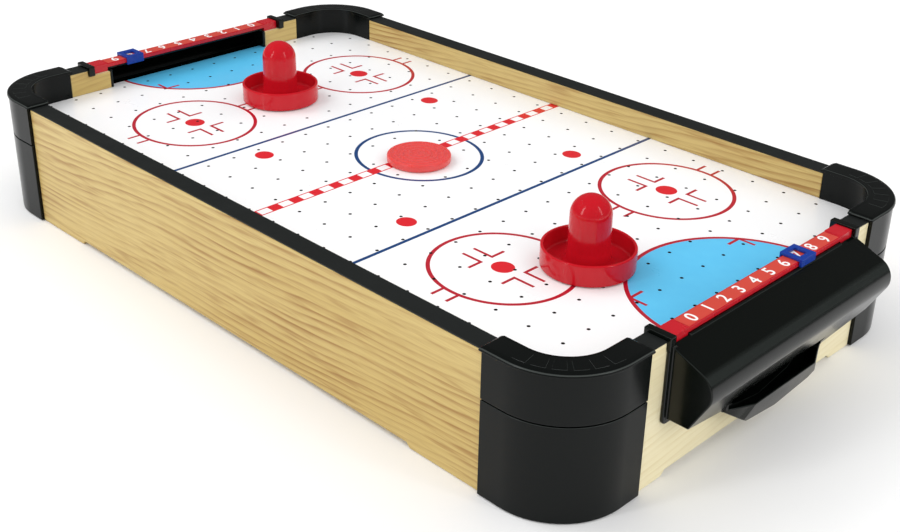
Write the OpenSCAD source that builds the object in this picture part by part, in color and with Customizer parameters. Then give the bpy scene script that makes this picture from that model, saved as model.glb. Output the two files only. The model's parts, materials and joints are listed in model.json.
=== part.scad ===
// Tabletop air hockey table, millimetres, +Z up.
// Origin: centre of the footprint on the ground. The near goal is at +X, the front long side at -Y.

/* [Table body] */
// Length over the corner pieces, goal end to goal end
table_l = 508; // [480:1:560]
// Width over the corner pieces
table_w = 304; // [290:1:340]
// Thickness of the side and end panels
panel_t = 12; // [12:0.1:12.4]
// How far the panels stand back from the corner pieces' outer faces
panel_step = 2; // [1.6:0.1:2]
// Distance from a table end or side to the joint between corner piece and panel
corner_reach = 54; // [50:1:60]
// Outer radius of the corner pieces in plan
corner_r = 40; // [36:1:44]
// Height of the panels' bottom edge above the ground
panel_low = 0.3; // [0.3:0.1:1]
// Height of the panels' top edge, trim included
panel_top = 79; // [79:0.5:84]
// Height of the top of the corner caps
cap_top = 81.5; // [81.5:0.5:87]
// Height of the seam between corner base and corner cap
seam_z = 53.5; // [50:0.5:56]
// Thickness of the black edge trims
trim_t = 1; // [1:0.5:2]

/* [Playfield] */
// Height of the playing surface
field_top = 62; // [62:0.5:62]
// Thickness of the playfield board
field_t = 3; // [2.5:0.5:3]
// Depth of the groove that holds a board in the panels
groove_d = 6; // [4:0.5:7]
// Air holes along the length
hole_cols = 22; // [16:2:22]
// Air holes across the width
hole_rows = 14; // [10:2:14]
// Air hole pitch along the length
hole_px = 21.9; // [20:0.1:22.2]
// Air hole pitch across the width
hole_py = 19; // [17:0.1:19.4]
// Air hole diameter
hole_d = 1.8; // [1:0.1:2]
// Offset of the air holes and the print towards the near goal
field_dx = -5; // [-6:1:6]
// Offset of the air holes and the print towards the back
field_dy = 6; // [-6:1:6]

/* [Goals] */
// Width of the goal opening in an end panel
goal_w = 135; // [120:1:136]
// Width of the shallow notch that takes the hooks and the score rail
notch_w = 169; // [166:1:172]
// Height of the notch floor
notch_z = 74; // [73:0.5:75]
// Width of the catcher hood
hood_w = 164; // [160:1:166]
// Width of the puck tray where it leaves the hood
tray_w = 87; // [80:1:92]
// Wall thickness of the catcher
hood_t = 2; // [1.6:0.1:2.4]

/* [Score rail] */
// Spacing of the digits
digit_pitch = 13.2; // [12.5:0.1:13.2]
// Digit that the near slider rests on
near_score = 7; // [0:1:9]
// Digit that the far slider rests on
far_score = 8; // [0:1:9]

/* [Strikers and puck] */
// Outer radius of a mallet's cup
mallet_r = 25.7; // [24:0.1:27]
// Height of the cup wall above the playing surface
mallet_rim_h = 12.5; // [11:0.5:14]
// Radius of the mallet's knob
knob_r = 11.3; // [10:0.1:12]
// Height of the mallet's top above the playing surface
mallet_h = 41.6; // [38:0.1:45]
// Radius of the puck
puck_r = 20; // [18:0.5:21]
// Thickness of the puck
puck_t = 5; // [4:0.5:6]

/* [Blower and power] */
// Inner radius of the fan duct
duct_r = 26.4; // [25:0.1:27]
// Number of fan blades
blades = 7; // [5:1:9]
// Height of the underside of the bottom board
board_z = 33; // [33:0.5:34]
// Diameter of a battery cell
cell_d = 14.2; // [14.2:0.1:14.5]
// Length of a battery cell without its nub
cell_l = 49.5; // [49:0.1:49.5]

/* [Hidden] */
$fn = 48;

WOOD = "#dcc48e";
BLACK = "#232626";
GLOSS_BLACK = "#121814";
RED = "#cd2d3c";
RAIL_RED = "#c81e2d";
BLUE = "#0e4aa0";
STEEL = "#b9bcc0";
eps = 0.01;
gap = 0.1;

half_l = table_l / 2;
half_w = table_w / 2;
out_l = half_l - panel_step;
out_w = half_w - panel_step;
in_l = out_l - panel_t;
in_w = out_w - panel_t;
corner_t = panel_t + panel_step;
side_half = half_l - corner_reach;
end_half = half_w - corner_reach;
inner_r = corner_r - corner_t;
arc_x = half_l - corner_r;
arc_y = half_w - corner_r;
wood_top = panel_top - trim_t;
field_low = field_top - field_t;
board_t = 3;
board_top = board_z + board_t;

// Raised arch in the bottom edge of each panel
arch_h = 2.5;
side_arch_half = side_half - 48;
end_arch_half = end_half - 20;

// Corner mouldings
wall = 2.2;
base_low = 0.6;
cap_plate = 2.4;
lip = 0.8;
flange_t = 2.5;
flange_reach = 16;
flange_low = 6;
flange_top = 30;
boss_r = 2.9;
screw_r = 1.4;
pilot_r = 1.45;
clear_r = 1.7;
head_r = 2.9;
head_h = 1.6;

// ---------- shared helpers ----------

// Places its children at one end of the table: end = 1 near goal, -1 far goal
module at_end(end) { rotate([0, 0, end > 0 ? 0 : 180]) children(); }

// Places a piece drawn for the (+X, +Y) corner at the corner given by its signs
module at_corner(sx, sy) {
    mirror([sx < 0 ? 1 : 0, 0, 0]) mirror([0, sy < 0 ? 1 : 0, 0]) children();
}

module slab(x0, x1, y0, y1, z0, z1) {
    translate([x0, y0, z0]) cube([x1 - x0, y1 - y0, z1 - z0]);
}

module rounded_rect(hx, hy, r) {
    union() {
        square([2 * hx, 2 * (hy - r)], center = true);
        square([2 * (hx - r), 2 * hy], center = true);
        for (sx = [-1, 1], sy = [-1, 1]) translate([sx * (hx - r), sy * (hy - r)]) circle(r, $fn = 64);
    }
}

// Extrudes an (X, Z) outline along Y
module along_y(y0, y1) { translate([0, y1, 0]) rotate([90, 0, 0]) linear_extrude(y1 - y0) children(); }

// Extrudes a (Y, Z) outline along X
module along_x(x0, x1) { translate([x0, 0, 0]) rotate([90, 0, 90]) linear_extrude(x1 - x0) children(); }

function unit(v) = v / norm(v);

// Route with its corners cut twice, so that it bends in curves
function cut_corners(p) = concat([p[0]],
    [for (i = [0 : len(p) - 2]) for (t = [0.25, 0.75]) p[i] + t * (p[i + 1] - p[i])], [p[len(p) - 1]]);
function curved(p) = cut_corners(cut_corners(p));

// Direction of the route at each of its points
function headings(p) = [for (i = [0 : len(p) - 1]) unit(p[min(i + 1, len(p) - 1)] - p[max(i - 1, 0)])];

// Side direction at each point, carried along the route without twist
function sides(h, i, last) = i == len(h) ? [] :
    let (side = unit(last - (last * h[i]) * h[i])) concat([side], sides(h, i + 1, side));

// Insulated lead: one tube along the route
module wire(points, r) {
    route = curved(points);
    heading = headings(route);
    side = sides(heading, 0, [0.2, 0.1, 1]);
    rings = len(route);
    polyhedron(
        [for (i = [0 : rings - 1]) for (k = [0 : wire_sides - 1]) let (a = 360 * k / wire_sides)
            route[i] + r * (cos(a) * side[i] + sin(a) * cross(heading[i], side[i]))],
        concat([[for (k = [0 : wire_sides - 1]) k]],
            [for (i = [0 : rings - 2]) for (k = [0 : wire_sides - 1]) let (n = (k + 1) % wire_sides)
                [i * wire_sides + k, (i + 1) * wire_sides + k, (i + 1) * wire_sides + n, i * wire_sides + n]],
            [[for (k = [0 : wire_sides - 1]) rings * wire_sides - 1 - k]]));
}

// Pan-head screw: head at the origin, shank along +Z
module screw(length) {
    union() {
        difference() {
            translate([0, 0, -head_h]) cylinder(h = head_h, r = head_r, $fn = 28);
            for (a = [0, 90]) translate([0, 0, -head_h]) rotate(a) cube([3.4, 0.7, 1.6], center = true);
        }
        translate([0, 0, -eps]) cylinder(h = length, r = screw_r, $fn = 20);
    }
}

// ---------- boards ----------

// Outline of a board held in the panels' grooves and cut back inside the corner pieces
module board_plan() {
    union() {
        square([2 * (in_l + groove_d), 2 * (end_half - gap)], center = true);
        square([2 * (side_half - gap), 2 * (in_w + groove_d)], center = true);
        rounded_rect(in_l - gap, in_w - gap, inner_r - gap);
    }
}

// True where a hole clears the end panels and the round corners
function inside_rink(p) =
    let (dx = max(0, abs(p[0]) - arc_x), dy = max(0, abs(p[1]) - arc_y))
        norm([dx, dy]) < inner_r - 2;

module playfield() {
    color("white") translate([0, 0, field_low]) linear_extrude(field_t) difference() {
        board_plan();
        for (i = [0 : hole_cols - 1], j = [0 : hole_rows - 1]) {
            x = (i - (hole_cols - 1) / 2) * hole_px + field_dx;
            y = (j - (hole_rows - 1) / 2) * hole_py + field_dy;
            if (inside_rink([x, y])) translate([x, y]) circle(d = hole_d, $fn = 14);
        }
    }
}

module bottom_board() {
    color("#8a6a45") translate([0, 0, board_z]) linear_extrude(board_t) difference() {
        board_plan();
        circle(duct_r, $fn = 96);
        for (p = fan_screw_points) translate(p) circle(pilot_r, $fn = 20);
        for (p = box_screw_points) translate(p) circle(pilot_r, $fn = 20);
    }
}

// Cross batten between the rows of air holes, with windows for the air
batten_x = 4 * hole_px;
batten_windows = 2;
batten_t = 8;
batten_window = 44;
module cross_batten(end) {
    color(WOOD) translate([end * batten_x + field_dx, 0, 0]) difference() {
        slab(-batten_t / 2, batten_t / 2, -in_w, in_w, board_top, field_low);
        for (k = [-batten_windows : batten_windows]) translate([0, k * batten_window * 1.2, 0])
            slab(-batten_t, batten_t, -batten_window / 2, batten_window / 2, board_top + 5, field_low - 5);
    }
}

// ---------- panels ----------

// Groove on a panel's inner face, drawn as an (across, Z) slot
module grooves(inner, side) {
    for (z = [field_low, board_z])
        translate([side > 0 ? inner - 1 : -inner - groove_d - gap, z - gap])
            square([groove_d + 1 + gap, field_t + 2 * gap]);
}

// Panel face outline: straight top, raised arch in the bottom edge
module face_outline(half, arch_half, top) {
    polygon([
        [-half, panel_low], [-arch_half, panel_low], [-arch_half + arch_h, panel_low + arch_h],
        [arch_half - arch_h, panel_low + arch_h], [arch_half, panel_low], [half, panel_low],
        [half, top], [-half, top]
    ]);
}

flange_screw_z = [12, 24];

module side_panel(side) {
    difference() {
        along_y(side > 0 ? in_w : -out_w, side > 0 ? out_w : -in_w)
            face_outline(side_half, side_arch_half, wood_top);
        along_x(-table_l, table_l) grooves(in_w, side);
        for (sx = [-1, 1], z = flange_screw_z)
            translate([sx * (side_half - flange_reach / 2), side * (in_w - 1), z])
                rotate([-90 * side, 0, 0]) cylinder(h = 11, r = pilot_r, $fn = 20);
    }
}

module front_panel() { color(WOOD) side_panel(-1); }

// The back panel has the pocket and the cut-out for the power switch
module back_panel() {
    color(WOOD) difference() {
        side_panel(1);
        translate([switch_x, out_w - pocket_d / 2 + 1, switch_z])
            cube([switch_bezel[0] + 6, pocket_d + 2, switch_bezel[1] + 6], center = true);
        translate([switch_x, out_w - panel_t / 2, switch_z])
            cube([switch_case[0] + 0.4, panel_t + 2, switch_case[1] + 0.4], center = true);
    }
}

module end_panel() {
    color(WOOD) difference() {
        along_x(in_l, out_l) face_outline(end_half, end_arch_half, wood_top);
        along_y(-table_w, table_w) grooves(in_l, 1);
        slab(in_l - 1, out_l + 1, -goal_w / 2, goal_w / 2, field_low - gap, cap_top);
        slab(in_l - 1, out_l + 1, -notch_w / 2, notch_w / 2, notch_z, cap_top);
        for (sy = [-1, 1], z = flange_screw_z)
            translate([in_l - 1, sy * (end_half - 5), z]) rotate([0, 90, 0])
                cylinder(h = 11, r = pilot_r, $fn = 20);
    }
}

module side_trim(side) {
    color(BLACK) slab(-side_half, side_half, side > 0 ? in_w : -out_w, side > 0 ? out_w : -in_w,
        wood_top, panel_top);
}

module end_trim() {
    color(BLACK) for (s = [-1, 1]) translate([0, s * (end_half + notch_w / 2) / 2, 0])
        slab(in_l, out_l, -(end_half - notch_w / 2) / 2, (end_half - notch_w / 2) / 2, wood_top, panel_top);
}

// ---------- corner mouldings, drawn for the (+X, +Y) corner ----------

// Bent strip in plan: quarter ring plus a straight arm at each end
module corner_plan(grow_in, grow_out, reach) {
    r0 = inner_r - grow_in;
    r1 = corner_r + grow_out;
    translate([arc_x, arc_y]) difference() {
        union() {
            intersection() {
                circle(r1, $fn = 128);
                square(r1 + 1);
            }
            translate([r0, -reach]) square([r1 - r0, reach]);
            translate([-reach, r0]) square([reach, r1 - r0]);
        }
        circle(r0, $fn = 128);
        translate([-reach - 1, -reach - 1]) square([reach + 1 + r0, reach + 1]);
        translate([-reach - 1, -reach - 1]) square([reach + 1, reach + 1 + r0]);
    }
}

arm = corner_reach - corner_r;
boss_points = [
    [side_half + arm / 2, half_w - corner_t / 2],
    [half_l - corner_t / 2, end_half + arm / 2]
];

module corner_cap() {
    color(BLACK) difference() {
        union() {
            difference() {
                translate([0, 0, seam_z + 0.2]) linear_extrude(cap_top - cap_plate - seam_z)
                    corner_plan(0, 0, arm);
                translate([0, 0, seam_z - 1]) linear_extrude(cap_top - cap_plate - seam_z + 1)
                    corner_plan(-wall, -wall, arm - wall);
            }
            translate([0, 0, cap_top - cap_plate]) linear_extrude(cap_plate)
                corner_plan(lip, lip, arm + 1.6);
            for (p = boss_points) translate([p[0], p[1], seam_z + 0.2])
                cylinder(h = cap_top - cap_plate - seam_z, r = boss_r, $fn = 32);
            for (a = [22.5, 45, 67.5]) translate([arc_x, arc_y, 60]) rotate([0, 0, a])
                translate([inner_r + 1, -0.9, 0]) cube([corner_t - 2, 1.8, cap_top - cap_plate - 60 + eps]);
        }
        for (p = boss_points) translate([p[0], p[1], seam_z]) cylinder(h = 16, r = pilot_r, $fn = 20);
    }
}

base_boss_low = 38;
boss_web = 13.2;
pad_angle = 45;
pad_r = 4.5;
pad_at = [arc_x, arc_y] + (inner_r + corner_t / 2) * [cos(pad_angle), sin(pad_angle)];

module corner_base() {
    color(BLACK) difference() {
        union() {
            difference() {
                translate([0, 0, base_low]) linear_extrude(seam_z - 0.2 - base_low) corner_plan(0, 0, arm);
                translate([0, 0, base_low + 3]) linear_extrude(seam_z)
                    corner_plan(-wall, -wall, arm - wall);
                for (p = boss_points) translate([p[0], p[1], 0])
                    cylinder(h = 10, r = head_r + 0.6, $fn = 32);
            }
            for (p = boss_points) translate([p[0], p[1], base_boss_low])
                cylinder(h = seam_z - 0.2 - base_boss_low, r = boss_r, $fn = 32);
            for (p = boss_points) translate([p[0], p[1], base_boss_low + 1.5])
                cube([boss_web, boss_web, 3], center = true);
            slab(side_half - flange_reach, side_half, in_w - flange_t, in_w - eps, flange_low, flange_top);
            slab(side_half, side_half + arm - 1, in_w - flange_t, in_w + 0.5, flange_low, flange_top);
            slab(in_l - flange_t, in_l - eps, end_half - 10, end_half, flange_low, flange_top);
            slab(in_l - flange_t, in_l + 0.5, end_half, end_half + arm - 1, flange_low, flange_top);
        }
        for (p = boss_points) translate([p[0], p[1], base_boss_low - 1])
            cylinder(h = seam_z, r = clear_r, $fn = 20);
        translate([pad_at[0], pad_at[1], 0]) cylinder(h = 2, r = pad_r + gap, $fn = 40);
        for (z = flange_screw_z) {
            translate([side_half - flange_reach / 2, in_w - flange_t - 1, z]) rotate([-90, 0, 0])
                cylinder(h = flange_t + 2, r = clear_r, $fn = 20);
            translate([in_l - flange_t - 1, end_half - 5, z]) rotate([0, 90, 0])
                cylinder(h = flange_t + 2, r = clear_r, $fn = 20);
        }
    }
}

module foot_pad() {
    color("#3a3a3a") translate([pad_at[0], pad_at[1], 0]) cylinder(h = 2, r = pad_r, $fn = 40);
}

// ---------- goal catcher, drawn for the near end ----------

slope_a = 21.9;
hood_top_z = 76;
nose_r = 11;
nose_c = [out_l + 14.2, 58.5];
under_a = 60.6;
hood_low_z = 26;
hood_end_low = 36.5;
tray_top_z = 30;
tray_mouth_z = 34.5;
tray_front_x = out_l + 18.2;
tray_bend_x = out_l + 10;
tray_toe_x = out_l + 10.6;
flange_x = out_l + hood_t;
hook_w = 4.5;
hook_top = 81;
hook_lip = 1.8;
sill_z = field_top - 0.2;
bridge_x = out_l - 8.5;
bridge_z = 74.6;
slider_foot_z = 75.2;
strip_low = 76.5;

// Closed (X, Z) section of the hood, shrunk by inset on its outer sides
module hood_section(inset, low) {
    r = nose_r - inset;
    n1 = [sin(slope_a), cos(slope_a)];
    n2 = [sin(under_a), -cos(under_a)];
    t1 = nose_c + r * n1;
    t2 = nose_c + r * n2;
    back_z = t1[1] + (t1[0] - out_l) * tan(slope_a);
    low_x = t2[0] - (t2[1] - low) / tan(under_a);
    union() {
        polygon([[out_l, back_z], t1, nose_c + [1, 0], t2, [low_x, low], [out_l, low]]);
        translate(nose_c) circle(r, $fn = 96);
    }
}

// Front view (Y, Z) of the hood: its lower edge falls towards the tray
module hood_front(inset, half) {
    polygon([
        [-half, 90], [-half, hood_end_low + inset], [-tray_w / 2, hood_low_z + inset],
        [tray_w / 2, hood_low_z + inset], [half, hood_end_low + inset], [half, 90]
    ]);
}

module hood_solid(inset, half) {
    intersection() {
        along_y(-half, half) hood_section(inset, 20);
        along_x(out_l - 2, out_l + 40) hood_front(inset, half);
    }
}

// Puck tray: front view, plan and side view cut each other
module tray_solid(inset, top) {
    w = tray_w / 2 - inset;
    front_w = tray_w * 0.29;
    low_w = tray_w * 0.33 - inset;
    intersection() {
        along_x(out_l, out_l + 30) polygon([
            [-w, top], [-w, 25.5 + inset], [-low_w, 15.6 + inset], [0, 11.2 + inset],
            [low_w, 15.6 + inset], [w, 25.5 + inset], [w, top]
        ]);
        translate([0, 0, 5]) linear_extrude(40) polygon([
            [out_l, -w], [tray_bend_x - inset / 2, -w], [tray_front_x - inset, -front_w + inset / 2],
            [tray_front_x - inset, front_w - inset / 2], [tray_bend_x - inset / 2, w], [out_l, w]
        ]);
        along_y(-w, w) polygon([
            [out_l, 5], [tray_toe_x - inset, 5], [tray_front_x - inset, tray_top_z],
            [tray_front_x - inset, 40], [out_l, 40]
        ]);
    }
}

module goal_catcher() {
    color(GLOSS_BLACK) difference() {
        union() {
            hood_solid(0, hood_w / 2);
            tray_solid(0, tray_top_z);
            // flange against the end panel
            along_x(out_l, flange_x) union() {
                translate([-notch_w / 2, hood_end_low]) square([notch_w, notch_z - hood_end_low]);
                translate([-notch_w / 2 + 3, hood_end_low - 3]) square([notch_w - 6, 5]);
                for (s = [-1, 1]) translate([s * (notch_w / 2 - 3), hood_end_low]) circle(3, $fn = 40);
            }
            // hooks over the notch floor, standing a little past the inner face
            for (s = [-1, 1]) translate([0, s * (notch_w / 2 - hook_w / 2 - gap), 0])
                slab(in_l - hook_lip, flange_x, -hook_w / 2, hook_w / 2, notch_z, hook_top);
            // sill behind the playfield edge, cheeks and the bridge under the score rail
            slab(in_l + groove_d + gap, out_l + 1, -goal_w / 2 + gap, goal_w / 2 - gap, field_low, sill_z);
            for (s = [-1, 1]) translate([0, s * (goal_w / 2 - hood_t / 2 - gap), 0]) {
                slab(in_l + gap, bridge_x + gap, -hood_t / 2, hood_t / 2,
                    field_top + gap, slider_foot_z - 0.3);
                slab(bridge_x, out_l + 1, -hood_t / 2, hood_t / 2, field_top + gap, strip_low - gap);
            }
            slab(bridge_x, out_l + 1, -goal_w / 2 + gap, goal_w / 2 - gap, bridge_z, strip_low - gap);
        }
        difference() {
            hood_solid(hood_t, hood_w / 2 - hood_t);
            slab(out_l - 3, out_l + 1, -goal_w / 2, goal_w / 2, bridge_z, strip_low);
            slab(out_l - 3, flange_x, -hood_w / 2, hood_w / 2, 0, sill_z);
            for (s = [-1, 1]) translate([out_l - 3, s * (goal_w + notch_w) / 4, sill_z - 1])
                translate([0, -(notch_w - goal_w) / 4, 0]) cube([3 + hood_t, (notch_w - goal_w) / 2, 20]);
        }
        // mouth between hood and tray, and the hollow of the tray
        slab(flange_x, out_l + 30, -tray_w / 2 + hood_t, tray_w / 2 - hood_t, tray_top_z - 3, tray_mouth_z);
        difference() {
            tray_solid(hood_t, tray_mouth_z);
            slab(out_l - 1, flange_x, -tray_w, tray_w, 0, 60);
        }
        // goal passage through the panel
        slab(out_l - 1, flange_x + 1, -goal_w / 2 + hood_t + gap, goal_w / 2 - hood_t - gap,
            sill_z, bridge_z);
    }
}

// ---------- score rail and slider, drawn for the near end ----------

strip_x0 = out_l - 10.1;
strip_x1 = out_l - gap;
strip_top = 79.3;
strip_half = 68;
block_half = notch_w / 2 - hook_w - 2 * gap;
slider_l = 13.5;
slider_window = 7;

module score_rail() {
    color(RAIL_RED) union() {
        slab(strip_x0, strip_x1, -strip_half - 1, strip_half + 1, strip_low, strip_top);
        for (s = [-1, 1]) translate([0, s * (strip_half + block_half) / 2, 0])
            slab(strip_x0, strip_x1, -(block_half - strip_half) / 2, (block_half - strip_half) / 2,
                notch_z, strip_top + 0.5);
    }
}

slider_top = 81.2;
module score_slider(score) {
    color(BLUE) translate([0, (score - 4.5) * digit_pitch, 0]) difference() {
        union() {
            slab(strip_x0 - 1.4, out_l + 2, -slider_l / 2, slider_l / 2, strip_top + 0.2, slider_top);
            slab(strip_x0 - 1.4, strip_x0 - 0.3, -slider_l / 2, slider_l / 2, slider_foot_z, slider_top);
            slab(strip_x0 - 1.4, bridge_x - 0.3, -slider_l / 2, slider_l / 2, slider_foot_z, strip_low - 0.3);
            slab(out_l + 0.2, out_l + 2, -slider_l / 2, slider_l / 2, strip_low + 0.3, slider_top);
        }
        translate([(strip_x0 + strip_x1) / 2, 0, slider_top])
            cube([slider_window, slider_window, 8], center = true);
    }
}

// ---------- blower ----------

fan_flange_r = 37;
duct_t = 2;
duct_low = 9;
duct_floor_t = 2.5;
ledge = 0.8;
grille_low = 6.5;
motor_r = 11;
motor_low = 11.5;
motor_top = 22;
shaft_r = 1;
shaft_low = motor_low + 3.3;
shaft_top = 31.4;
tab_l = 2.5;
lead_a = 60;
lead_z = motor_low + 1.3;
lead_hole_r = 1.5;
fan_screw_r = 33;
fan_screw_points = [for (a = [45 : 90 : 315]) [fan_screw_r * cos(a), fan_screw_r * sin(a)]];
grille_screw_r = 31.5;
grille_screw_points = [for (a = [30 : 120 : 270]) [grille_screw_r * cos(a), grille_screw_r * sin(a)]];

module fan_housing() {
    color(BLACK) difference() {
        union() {
            translate([0, 0, duct_low]) cylinder(h = board_z - duct_low, r = duct_r + duct_t, $fn = 96);
            translate([0, 0, board_z - 2.5]) cylinder(h = 2.5, r = fan_flange_r, $fn = 96);
            for (p = grille_screw_points) translate([p[0], p[1], duct_low])
                cylinder(h = 9, r = 3.4, $fn = 32);
        }
        translate([0, 0, duct_low + duct_floor_t]) cylinder(h = board_z, r = duct_r, $fn = 96);
        // air passages between three arms and the motor seat
        for (a = [0, 120, 240]) rotate([0, 0, a]) translate([0, 0, duct_low - 1]) rotate([0, 0, -50])
            rotate_extrude(angle = 100, $fn = 96) translate([motor_r + 1.5, 0])
                square([duct_r - ledge - motor_r - 1.5, duct_floor_t + 2]);
        for (s = [-1, 1]) rotate([0, 90, s * lead_a]) translate([-lead_z - 0.4, 0, duct_r - 3])
            cylinder(h = 8, r = lead_hole_r, $fn = 24);
        for (p = fan_screw_points) translate([p[0], p[1], board_z - 5])
            cylinder(h = 8, r = clear_r, $fn = 20);
        for (p = grille_screw_points) translate([p[0], p[1], duct_low - 1])
            cylinder(h = 8, r = pilot_r, $fn = 20);
    }
}

module intake_grille() {
    bar = 2.2;
    color(BLACK) difference() {
        union() {
            translate([0, 0, grille_low]) cylinder(h = duct_low - grille_low, r = duct_r + duct_t, $fn = 96);
            for (p = grille_screw_points) translate([p[0], p[1], grille_low])
                cylinder(h = duct_low - grille_low, r = 3.4, $fn = 32);
        }
        for (r = [7 : 5 : 22]) difference() {
            translate([0, 0, grille_low - 1]) cylinder(h = 5, r = r + 5 - bar, $fn = 72);
            translate([0, 0, grille_low - 2]) cylinder(h = 7, r = r, $fn = 72);
            for (a = [0 : 60 : 120]) rotate([0, 0, a]) cube([80, bar, 40], center = true);
        }
        for (p = grille_screw_points) translate([p[0], p[1], grille_low - 1])
            cylinder(h = 5, r = clear_r, $fn = 20);
    }
}

module fan_motor() {
    color(STEEL) difference() {
        union() {
            translate([0, 0, motor_low]) cylinder(h = motor_top - motor_low, r = motor_r, $fn = 64);
            translate([0, 0, motor_top - eps]) cylinder(h = 1.5, r = 3.2, $fn = 32);
            for (s = [-1, 1]) rotate([0, 0, s * lead_a])
                slab(motor_r - 0.5, motor_r + tab_l, -1.2, 1.2, lead_z - 0.3, lead_z + 0.3);
        }
        translate([0, 0, motor_low + 3]) cylinder(h = 20, r = shaft_r + 0.05, $fn = 32);
    }
}

module fan_shaft() {
    color("silver") translate([0, 0, shaft_low]) cylinder(h = shaft_top - shaft_low, r = shaft_r, $fn = 32);
}

hub_low = 24.4;
hub_top = 31;
module fan_impeller() {
    color("#e8e8e4") difference() {
        union() {
            translate([0, 0, hub_low]) cylinder(h = hub_top - hub_low, r = 8, $fn = 64);
            intersection() {
                for (k = [0 : blades - 1]) rotate([0, 0, k * 360 / blades])
                    translate([16.5, 0, (hub_low + hub_top) / 2]) rotate([34, 0, 0])
                        cube([19.5, 10.5, 1.3], center = true);
                translate([0, 0, hub_low]) cylinder(h = hub_top - hub_low, r = duct_r - 0.9, $fn = 96);
            }
        }
        translate([0, 0, hub_low - 1]) cylinder(h = 20, r = shaft_r + 0.02, $fn = 32);
    }
}

// ---------- power ----------

cells = 4;
box_x0 = 92;
plate_t = 0.5;
spring_l = 3;
nub_l = 1;
box_inner_l = 2 * plate_t + spring_l + cell_l + nub_l;
box_inner_w = cells * (cell_d + 0.6);
box_wall = 2.2;
box_x1 = box_x0 + box_inner_l;
box_low = 12.6;
box_roof = 31;
door_z0 = 13.2;
door_z1 = 15;
door_slot = 1.2;
cell_z = door_z1 + gap + cell_d / 2;
lead_hole_z = 27;
ear_r = 4;
box_screw_points = [
    for (x = [box_x0 - box_wall - 3.2, box_x1 + box_wall + 3.2], y = [-22, 22]) [x, y]
];
function cell_y(i) = (i - (cells + 1) / 2) * (cell_d + 0.6);

// Odd cells point their nub at the near end, even cells at the far end
function cell_base_x(i) = i % 2 == 1 ? box_x0 + plate_t + spring_l : box_x1 - plate_t - spring_l;

module battery_box() {
    hw = box_inner_w / 2;
    color(BLACK) difference() {
        union() {
            slab(box_x0 - box_wall, box_x1 + box_wall, -hw - box_wall, hw + box_wall, box_low, board_z);
            for (p = box_screw_points) {
                translate([p[0], p[1], board_z - 2.5]) cylinder(h = 2.5, r = ear_r, $fn = 40);
            }
        }
        slab(box_x0, box_x1, -hw, hw, door_z1, box_roof);
        // door slot, open towards the near end, and the opening under the cells
        slab(box_x0, box_x1 + box_wall + 1, -hw - door_slot, hw + door_slot, door_z0 - 0.2, door_z1 + 0.2);
        slab(box_x0, box_x1 + box_wall + 1, -hw, hw, box_low - 1, door_z1);
        for (p = box_screw_points) translate([p[0], p[1], board_z - 5])
            cylinder(h = 8, r = clear_r, $fn = 20);
        for (y = [cell_y(1), cell_y(4)]) translate([box_x0 - 5, y, lead_hole_z]) rotate([0, 90, 0])
            cylinder(h = 8, r = 1.2, $fn = 20);
    }
}

module battery_door() {
    hw = box_inner_w / 2 + door_slot - 0.3;
    color(BLACK) difference() {
        union() {
            slab(box_x0 + 0.3, box_x1 + box_wall, -hw, hw, door_z0, door_z1);
            slab(box_x1 + box_wall - 3, box_x1 + box_wall, -hw + 4, hw - 4, door_z0 - 1.4, door_z0 + 0.2);
        }
        for (k = [0 : 3]) translate([box_x1 - 6 - 3 * k, 0, door_z0]) cube([1.2, 20, 1], center = true);
    }
}

module battery_cell(i) {
    color("#caa23c") translate([cell_base_x(i), cell_y(i), cell_z]) rotate([0, i % 2 == 1 ? 90 : -90, 0])
        rotate_extrude($fn = 64) polygon([
            [0, 0], [cell_d / 2 - 0.6, 0], [cell_d / 2, 0.6], [cell_d / 2, cell_l - 0.8],
            [cell_d / 2 - 0.8, cell_l], [2.7, cell_l], [2.7, cell_l + nub_l], [0, cell_l + nub_l]
        ]);
}

module contact_plates() {
    w = cell_d - 2;
    color("silver") {
        for (i = [1, 3]) slab(box_x1 - plate_t, box_x1, cell_y(i) - w / 2, cell_y(i + 1) + w / 2,
            cell_z - 5, cell_z + 5);
        slab(box_x0, box_x0 + plate_t, cell_y(2) - w / 2, cell_y(3) + w / 2, cell_z - 5, cell_z + 5);
        for (i = [1, 4]) slab(box_x0, box_x0 + plate_t, cell_y(i) - w / 2, cell_y(i) + w / 2,
            cell_z - 5, cell_z + 5);
    }
}

// One coil spring behind each cell's flat end
module contact_springs() {
    turns = 2.5;
    spring_r = 3;
    spring_wire_r = 0.35;
    color("silver") for (i = [1 : cells])
        translate([i % 2 == 1 ? box_x0 + plate_t : cell_base_x(i), cell_y(i), cell_z]) rotate([0, 90, 0])
            linear_extrude(spring_l, twist = -360 * turns, slices = 36, $fn = 6)
                translate([spring_r, 0]) circle(spring_wire_r, $fn = 6);
}

switch_x = 120;
switch_z = 22;
pocket_d = 4;
switch_bezel = [22, 16];
switch_case = [18, 12];
case_depth = 13;
pivot_y = out_w - pocket_d - 2.5;
rocker_l = 14.4;
rocker_w = 9.4;
rocker_tilt = 8;

module switch_body() {
    y1 = out_w - pocket_d;
    color(BLACK) translate([switch_x, 0, switch_z]) difference() {
        union() {
            slab(-switch_bezel[0] / 2, switch_bezel[0] / 2, y1, y1 + 1.6,
                -switch_bezel[1] / 2, switch_bezel[1] / 2);
            slab(-switch_case[0] / 2, switch_case[0] / 2, y1 - case_depth, y1 + 1,
                -switch_case[1] / 2, switch_case[1] / 2);
        }
        slab(-rocker_l / 2 - 0.9, rocker_l / 2 + 0.9, y1 - 6.5, y1 + 3,
            -rocker_w / 2 - 0.3, rocker_w / 2 + 0.3);
        translate([0, pivot_y, -rocker_w / 2 - 1]) cylinder(h = rocker_w + 2, r = 1.05, $fn = 32);
    }
}

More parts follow.
